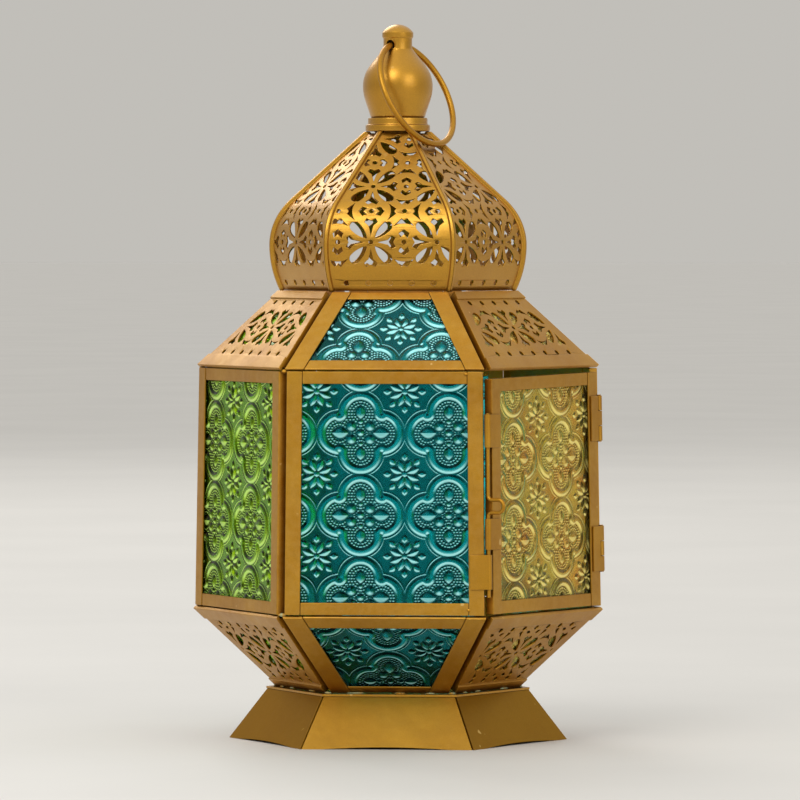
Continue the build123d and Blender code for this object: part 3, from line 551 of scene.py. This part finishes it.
def pressed_pane(name, place, outline, step, front, back, phase, quarter_turn, glass):
    """A closed slab of glass inside a panel, flat behind and pressed in relief in front.

    The outline gives the half width at a height, the bottom, and the top as a function of the share across.
    The relief's height and its tilt up or down are kept on the points for the paint.
    """
    half_width, bottom, top = outline
    tallest = max(top(-1), top(1)) - bottom
    widest = 2 * max(half_width(bottom), half_width(bottom + tallest))
    bpy.ops.object.select_all(action="DESELECT")
    bpy.ops.mesh.primitive_grid_add(
        x_subdivisions=int(widest / step), y_subdivisions=int(tallest / step), size=1
    )
    piece = bpy.context.object
    piece.name = name
    points = np.empty(len(piece.data.vertices) * 3)
    piece.data.vertices.foreach_get("co", points)
    points = points.reshape(-1, 3)
    share, rise = 2 * points[:, 0], points[:, 1] + 0.5
    y = bottom + rise * (top(share) - bottom)
    half = half_width(y)
    x = share * half
    edge = np.minimum(np.minimum(half - np.abs(x), y - bottom), top(share) - y)
    fade = eased(edge, 0, 1.5 * MM)
    across, up = x - phase[0] * MM, y - phase[1] * MM

    def relief_at(nudge):
        places = (up + nudge, across) if quarter_turn else (across, up + nudge)
        return pressed_relief(*places, glass) * fade

    relief, above, below = (relief_at(nudge) for nudge in (0, TILT_STEP, -TILT_STEP))
    tilt = (above - below) * glass.relief / (2 * TILT_STEP)
    points[:, 0], points[:, 1], points[:, 2] = x, y, front + glass.relief * relief
    piece.data.vertices.foreach_set("co", points.ravel())
    take_up(piece)
    bpy.ops.object.mode_set(mode="EDIT")
    bpy.ops.mesh.select_mode(type="EDGE")
    bpy.ops.mesh.select_all(action="DESELECT")
    bpy.ops.mesh.select_non_manifold()
    bpy.ops.mesh.extrude_edges_move(TRANSFORM_OT_translate={"value": (0, 0, back - front)})
    bpy.ops.mesh.edge_face_add()
    bpy.ops.mesh.select_all(action="SELECT")
    bpy.ops.mesh.normals_make_consistent(inside=False)
    bpy.ops.object.mode_set(mode="OBJECT")
    levels = np.ones(len(piece.data.vertices))
    levels[: len(relief)] = np.clip((relief + RELIEF_SINK) / (1 + RELIEF_SINK), 0, 1)
    piece.data.attributes.new("relief", "FLOAT", "POINT").data.foreach_set("value", levels)
    levels[:] = 0.5
    levels[: len(relief)] = np.clip(0.5 + 0.5 * tilt / STEEPEST_TILT, 0, 1)
    piece.data.attributes.new("tilt", "FLOAT", "POINT").data.foreach_set("value", levels)
    piece.data.transform(place)
    bpy.ops.object.shade_smooth_by_angle(angle=radians(60))
    return piece


def trapezoid(low_side, high_side, slant, inset, side_gap=0.0, low_gap=0.0, latch_drop=0.0, hinge_drop=0.0):
    """A pane's outline inside a panel, less the gaps of a door."""
    lean = (high_side - low_side) / 2 / slant
    margin = (inset + side_gap) * hypot(1, lean)

    def half_width(y):
        return low_side / 2 + lean * y - margin

    def top(share):
        return slant - inset - latch_drop - (hinge_drop - latch_drop) * (share + 1) / 2

    return half_width, inset + low_gap, top


class LANTERN_OT_soften_metal(Operator):
    """Rounds the edges of the sheet-metal strips, pierced sheets and fittings, and paints them gold"""

    bl_idname = "lantern.soften_metal"
    bl_label = "Soften the sheet metal"

    def execute(self, context):
        metal = context.scene.lantern_metal
        paint = gold_paint("gold_paint", metal)
        # The foot's paint is drawn darker, as painted shade, and smoother.
        foot_paint = gold_paint(
            "foot_paint",
            metal,
            wear_and_shade=0.2,
            strength=metal.foot_shade,
            mottle=0.45,
            gloss=0.36,
            coat=0.2,
            grazing=tuple(metal.rubbed_and_highlit),
        )
        # The dome's and finial's paint is drawn a little lighter, as painted light, and glossier.
        top_paint = gold_paint("top_paint", metal, strength=1.05, mottle=0.6, gloss=0.34, coat=0.55)
        edges = {
            "leaves": metal.fitting_edge,
            "grille": metal.sheet_edge,
            "dome_panel": metal.sheet_edge,
            "frame": metal.strip_edge,
            "finial": metal.turned_edge,
            "dome_collar": metal.turned_edge,
        }
        for node in frame["nodes"]:
            if "glass" in node:
                continue
            edge = next((width for word, width in edges.items() if word in node), metal.fitting_edge)
            piece = softened(node, edge, "grille" in node or "dome_panel" in node)
            tone = paint
            if "foot" in node:
                tone = foot_paint
            elif "dome" in node or node == "finial":
                tone = top_paint
            finish_with(piece, tone, body_of(node), slot_of(node), node)
        return {"FINISHED"}


class LANTERN_OT_press_panes(Operator):
    """Presses the coloured panes with their relief of quatrefoils and small flowers"""

    bl_idname = "lantern.press_panes"
    bl_label = "Press the panes"

    def execute(self, context):
        shell, glass = context.scene.lantern_shell, context.scene.lantern_glass
        clear = {tint: self.paint(f"{tint}_glass", tint, glass, painted_shading) for tint, painted_shading in GLASS_PAINTED_SHADING.items()}
        # Paler copies of the glass behind the pierced sheets: painted light.
        lit_cloudy = {
            tint: self.paint(f"{tint}_glass_cloudy", tint, glass, painted_shading) for tint, painted_shading in CLOUDY_PAINTED_SHADING.items()
        }
        storeys = {
            "lower": (shell.lower_side, shell.lower_z, shell.body_low_side, shell.body_z - shell.seam, LOWER_PHASE),
            "body": (shell.body_low_side, shell.body_z, shell.body_high_side, shell.upper_z - shell.seam, None),
            "upper": (shell.body_high_side, shell.upper_z, shell.upper_side, shell.upper_top, UPPER_PHASE),
        }
        for side, tint in SIDE_GLASS.items():
            for storey, (low_side, low_z, high_side, high_z, phase) in storeys.items():
                place, slant = panel_place(side, low_side, low_z, high_side, high_z)
                gaps = ()
                node = f"{storey}_glass_{side}"
                if storey == "body" and side == DOOR_SIDE:
                    node = "door_glass"
                    gaps = (shell.door_side_gap, shell.door_low_gap, shell.door_latch_drop, shell.door_hinge_drop)
                outline = trapezoid(low_side, high_side, slant, shell.pane_inset, *gaps)
                shielded = storey != "body" and side not in OPEN_TAPER_SIDES
                step = glass.shielded_step if shielded else glass.open_step
                front = shell.shielded_front if shielded else shell.pane_front
                piece = pressed_pane(
                    f"{node}_pressed",
                    place,
                    outline,
                    step,
                    front,
                    shell.pane_back,
                    phase or BODY_PHASES[side],
                    storey != "body",
                    glass,
                )
                paint = lit_cloudy[tint] if shielded else clear[tint]
                finish_with(piece, paint, body_of(node), slot_of(node), node)
        return {"FINISHED"}

    def paint(self, name, tint, glass, painted_shading):
        """The paint of one glass. Only the amber one is streaked."""
        own = getattr(glass, tint)
        streak = glass.orange if tint == "amber" else own
        return pressed_glass(name, own, streak, getattr(glass, f"{tint}_glint"), **painted_shading)


class LANTERN_OT_run_solder(Operator):
    """Runs drops of solder and flux into the corner joints and along the foot"""

    bl_idname = "lantern.run_solder"
    bl_label = "Run the solder"

    def execute(self, context):
        metal = context.scene.lantern_metal
        drop = self.drop()
        paints = {
            "gold": gold_paint("solder_paint", metal, wear_and_shade=0.4),
            "flux": flux_crust("flux_crust", metal),
        }
        for number, (paint, place, sizes) in enumerate(self.places(context.scene.lantern_shell)):
            piece = bpy.data.objects.new(f"solder_{number:02d}", drop.data.copy())
            context.collection.objects.link(piece)
            lie = Matrix.Rotation(2.4 * number, 4, "X") @ Matrix.Rotation(pi * (number % 2), 4, "Z")
            piece.data.transform(place @ Matrix.Diagonal((*(size * MM for size in sizes), 1)) @ lie)
            finish_with(piece, paints[paint], "frame", "gold_sheet")
        bpy.data.objects.remove(drop)
        return {"FINISHED"}

    def drop(self):
        """A lumpy drop one unit in radius."""
        bpy.ops.object.select_all(action="DESELECT")
        bpy.ops.mesh.primitive_ico_sphere_add(subdivisions=2, radius=1)
        drop = bpy.context.object
        take_up(drop)
        bpy.ops.object.mode_set(mode="EDIT")
        bpy.ops.mesh.select_all(action="SELECT")
        bpy.ops.transform.vertex_random(offset=0.28, uniform=0.2, normal=0.9, seed=7)
        bpy.ops.mesh.vertices_smooth(factor=0.35, repeat=1)
        bpy.ops.object.mode_set(mode="OBJECT")
        rounding = drop.modifiers.new("rounding", "SUBSURF")
        rounding.levels = 1
        bpy.ops.object.modifier_apply(modifier=rounding.name)
        bpy.ops.object.shade_smooth()
        return drop

    def places(self, shell):
        """Paint, place and half sizes of each drop: X runs along its seam, Y up and Z outwards."""
        body_top = shell.upper_z - shell.seam
        for angle in STATIC_CORNERS:
            yield "gold", self.at(angle, shell.body_high_side + 1.7 * MM, body_top), TOP_CORNER_DROP
            tone = "flux" if angle == FLUX_CORNER else "gold"
            yield tone, self.at(angle, shell.body_low_side + 1.6 * MM, shell.body_z), LOW_CORNER_DROP
        face = shell.body_low_side * APOTHEM_SHARE + 3.1 * MM
        front = SIDE_ANGLES["front"]
        yield "gold", self.at(front, face, shell.body_z + 2.0 * MM, 29.6 * MM), LOW_FACE_DROP
        yield "gold", self.at(front, face - 1.2 * MM, body_top - 0.9 * MM, 28.6 * MM), TOP_FACE_DROP
        for step, angle in enumerate(SIDE_ANGLES.values()):
            yield "flux", self.at(angle + 30, FOOT_CORNER * MM, FOOT_SEAM * MM), FOOT_DROP
            for along, reach in FLUX_PATCHES[step % 2 :: 2]:
                yield "flux", self.at(angle, FOOT_EDGE * MM, FOOT_SEAM * MM, along * MM), (reach, *FLUX_PATCH)

    def at(self, angle, out, height, along=0.0):
        """A place on a seam, by the direction that it faces, its distance from the axis, height and way along."""
        outwards = Vector((cos(radians(angle)), sin(radians(angle)), 0))
        across = Vector((0, 0, 1)).cross(outwards)
        place = Matrix((across, Vector((0, 0, 1)), outwards)).transposed().to_4x4()
        place.translation = outwards * out + across * along + Vector((0, 0, height))
        return place


class LANTERN_OT_set_stage(Operator):
    """Sets the floor, the light and the camera"""

    bl_idname = "lantern.set_stage"
    bl_label = "Set the stage"

    def execute(self, context):
        scene, stage = context.scene, context.scene.lantern_stage
        bpy.ops.object.select_all(action="DESELECT")
        bpy.ops.mesh.primitive_plane_add(size=FLOOR_SIZE, location=(0, 0, 0))
        floor = context.object
        floor.name = "floor"
        w = Wiring("pale_floor")
        dull = tuple(0.96 * c for c in stage.ground)
        grain = w.ramp(w.noise(6, 4), (0.35, dull), (0.65, tuple(stage.ground)))
        floor.data.materials.append(
            w.shade(w.add("ShaderNodeBsdfPrincipled", Base_Color=grain, Roughness=0.6))
        )
        self.light(scene, stage)
        for lamp in LAMPS:
            self.lamp(*lamp)
        self.camera(scene, stage)
        scene.view_settings.view_transform = "Standard"
        return {"FINISHED"}

    def light(self, scene, stage):
        """A soft studio, brighter overhead than at its sides."""
        world = bpy.data.worlds.get("studio") or bpy.data.worlds.new("studio")
        scene.world = world
        world.use_nodes = True
        tree = world.node_tree
        tree.nodes.clear()
        output = tree.nodes.new("ShaderNodeOutputWorld")
        background = tree.nodes.new("ShaderNodeBackground")
        ramp = tree.nodes.new("ShaderNodeValToRGB")
        split = tree.nodes.new("ShaderNodeSeparateXYZ")
        place = tree.nodes.new("ShaderNodeTexCoord")
        low, high = ramp.color_ramp.elements
        low.position, high.position = 0.12, 1.0
        low.color, high.color = (*stage.horizon, 1), (*stage.overhead, 1)
        tree.links.new(place.outputs["Generated"], split.inputs[0])
        tree.links.new(split.outputs["Z"], ramp.inputs[0])
        tree.links.new(ramp.outputs[0], background.inputs["Color"])
        tree.links.new(background.outputs[0], output.inputs[0])

    def lamp(self, name, place, size, power):
        """A square soft box that faces the lantern's middle."""
        lamp = bpy.data.lights.new(name, "AREA")
        lamp.size = size
        lamp.energy = power
        holder = bpy.data.objects.new(name, lamp)
        bpy.context.collection.objects.link(holder)
        holder.location = place
        holder.rotation_euler = (Vector(LAMP_AIM) - Vector(place)).to_track_quat("-Z", "Y").to_euler()

    def camera(self, scene, stage):
        """The camera, turned a little to the right of the front."""
        lens = bpy.data.cameras.new("camera")
        holder = bpy.data.objects.new("camera", lens)
        bpy.context.collection.objects.link(holder)
        lens.lens = stage.lens
        across = Vector((cos(stage.azimuth), sin(stage.azimuth), 0))
        back = Vector((sin(stage.azimuth), -cos(stage.azimuth), 0))
        aim = across * stage.aim_side + Vector((0, 0, stage.aim_height))
        height = Vector((0, 0, stage.camera_height))
        holder.location = across * stage.aim_side + back * stage.camera_distance + height
        holder.rotation_euler = (aim - holder.location).to_track_quat("-Z", "Y").to_euler()
        lens.clip_end = 50
        scene.camera = holder


class LANTERN_PT_workbench(Panel):
    """The lantern's sizes, finishes and making steps"""

    bl_idname = "LANTERN_PT_workbench"
    bl_label = "Lantern"
    bl_space_type = "VIEW_3D"
    bl_region_type = "UI"
    bl_category = "Lantern"

    def draw(self, context):
        layout = self.layout
        for operator in MAKING_STEPS:
            layout.operator(operator.bl_idname)
        for group in PROPERTY_GROUPS:
            box = layout.box()
            settings = getattr(context.scene, group)
            for name in settings.bl_rna.properties.keys():
                if name not in ("rna_type", "name"):
                    box.prop(settings, name)


PROPERTY_GROUPS = {
    "lantern_shell": LanternShell,
    "lantern_glass": LanternGlass,
    "lantern_metal": LanternMetal,
    "lantern_stage": LanternStage,
}
MAKING_STEPS = (
    LANTERN_OT_soften_metal,
    LANTERN_OT_press_panes,
    LANTERN_OT_run_solder,
    LANTERN_OT_set_stage,
)


def register():
    for name, group in PROPERTY_GROUPS.items():
        bpy.utils.register_class(group)
        setattr(bpy.types.Scene, name, PointerProperty(type=group))
    for step in (*MAKING_STEPS, LANTERN_PT_workbench):
        bpy.utils.register_class(step)


def unregister():
    for step in (LANTERN_PT_workbench, *reversed(MAKING_STEPS)):
        bpy.utils.unregister_class(step)
    for name, group in PROPERTY_GROUPS.items():
        delattr(bpy.types.Scene, name)
        bpy.utils.unregister_class(group)


def main():
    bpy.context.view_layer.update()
    register()
    bpy.ops.lantern.soften_metal()
    bpy.ops.lantern.press_panes()
    bpy.ops.lantern.run_solder()
    bpy.ops.lantern.set_stage()


if __name__ == "__main__":
    main()
